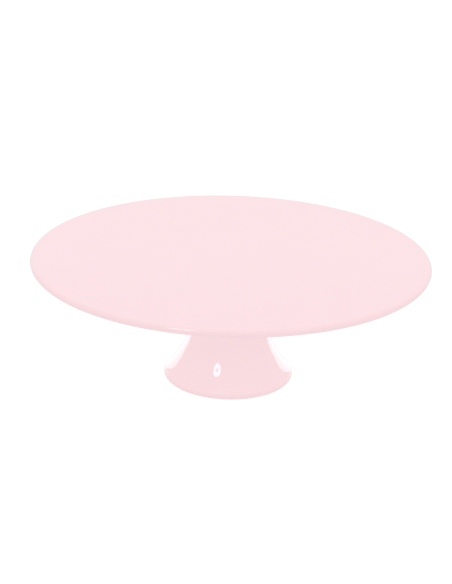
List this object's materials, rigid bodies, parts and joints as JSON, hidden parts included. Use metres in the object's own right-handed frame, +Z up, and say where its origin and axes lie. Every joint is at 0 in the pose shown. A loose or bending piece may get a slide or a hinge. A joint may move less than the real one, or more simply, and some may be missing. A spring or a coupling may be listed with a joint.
{
  "type": "cake turntable",
  "caption": "Revolving cake stand: a round flat plate with a rounded edge turns on a short flared foot, on a hidden ball bearing.",
  "frame": {"origin": "centre of the footprint, on the worktop", "axes": "+Z is up, along the axis that the plate turns about"},
  "size_m": [0.29, 0.29, 0.095],
  "materials": {
    "pink_melamine": "smooth gloss, pale pink, coloured right through",
    "cover_plastic": "fine matt moulded surface, pale pink",
    "ring_rubber": "soft pale grey silicone rubber",
    "brass": "turned brass",
    "bronze": "sintered bronze, oil-filled, slightly grainy",
    "plated_steel": "bright zinc plate",
    "spring_steel": "dark blued spring steel",
    "bearing_steel": "ground steel, lightly oiled",
    "polished_steel": "polished bearing balls",
    "cast_aluminium": "die casting with a fine grain",
    "turned_aluminium": "faced on a lathe, with fine turning marks",
    "nylon": "natural nylon",
    "cage_nylon": "black glass-filled nylon",
    "felt": "dense grey wool felt"
  },
  "bodies": {
    "foot": {"foot_shell": "pink_melamine", "anti_slip_ring": "ring_rubber", "foot_cover": "cover_plastic", "cover_inserts": "brass", "cover_screws": "plated_steel", "bearing_housing": "cast_aluminium", "upper_bush": "bronze", "lower_bush": "bronze", "housing_washers": "plated_steel", "housing_screws": "plated_steel", "dust_seal": "felt", "lower_race": "bearing_steel"},
    "ball_cage": {"ball_cage": "cage_nylon", "thrust_balls": "polished_steel"},
    "plate": {"cake_plate": "pink_melamine", "plate_inserts": "brass", "plate_hub": "turned_aluminium", "hub_screws": "plated_steel", "upper_race": "bearing_steel", "spindle": "bearing_steel", "disc_spring": "spring_steel", "thrust_washer": "plated_steel", "lock_nut": "plated_steel", "nut_collar": "nylon"}
  },
  "joints": [
    {"name": "plate_spin", "type": "hinge", "parent": "foot", "child": "plate", "pos_m": [0, 0, 0.078], "axis": [0, 0, 1], "continuous": true},
    {"name": "cage_spin", "type": "hinge", "parent": "foot", "child": "ball_cage", "pos_m": [0, 0, 0.078], "axis": [0, 0, 1], "continuous": true}
  ],
  "couplings": [
    {"joint": "cage_spin", "follows": "plate_spin", "ratio": 0.5}
  ]
}
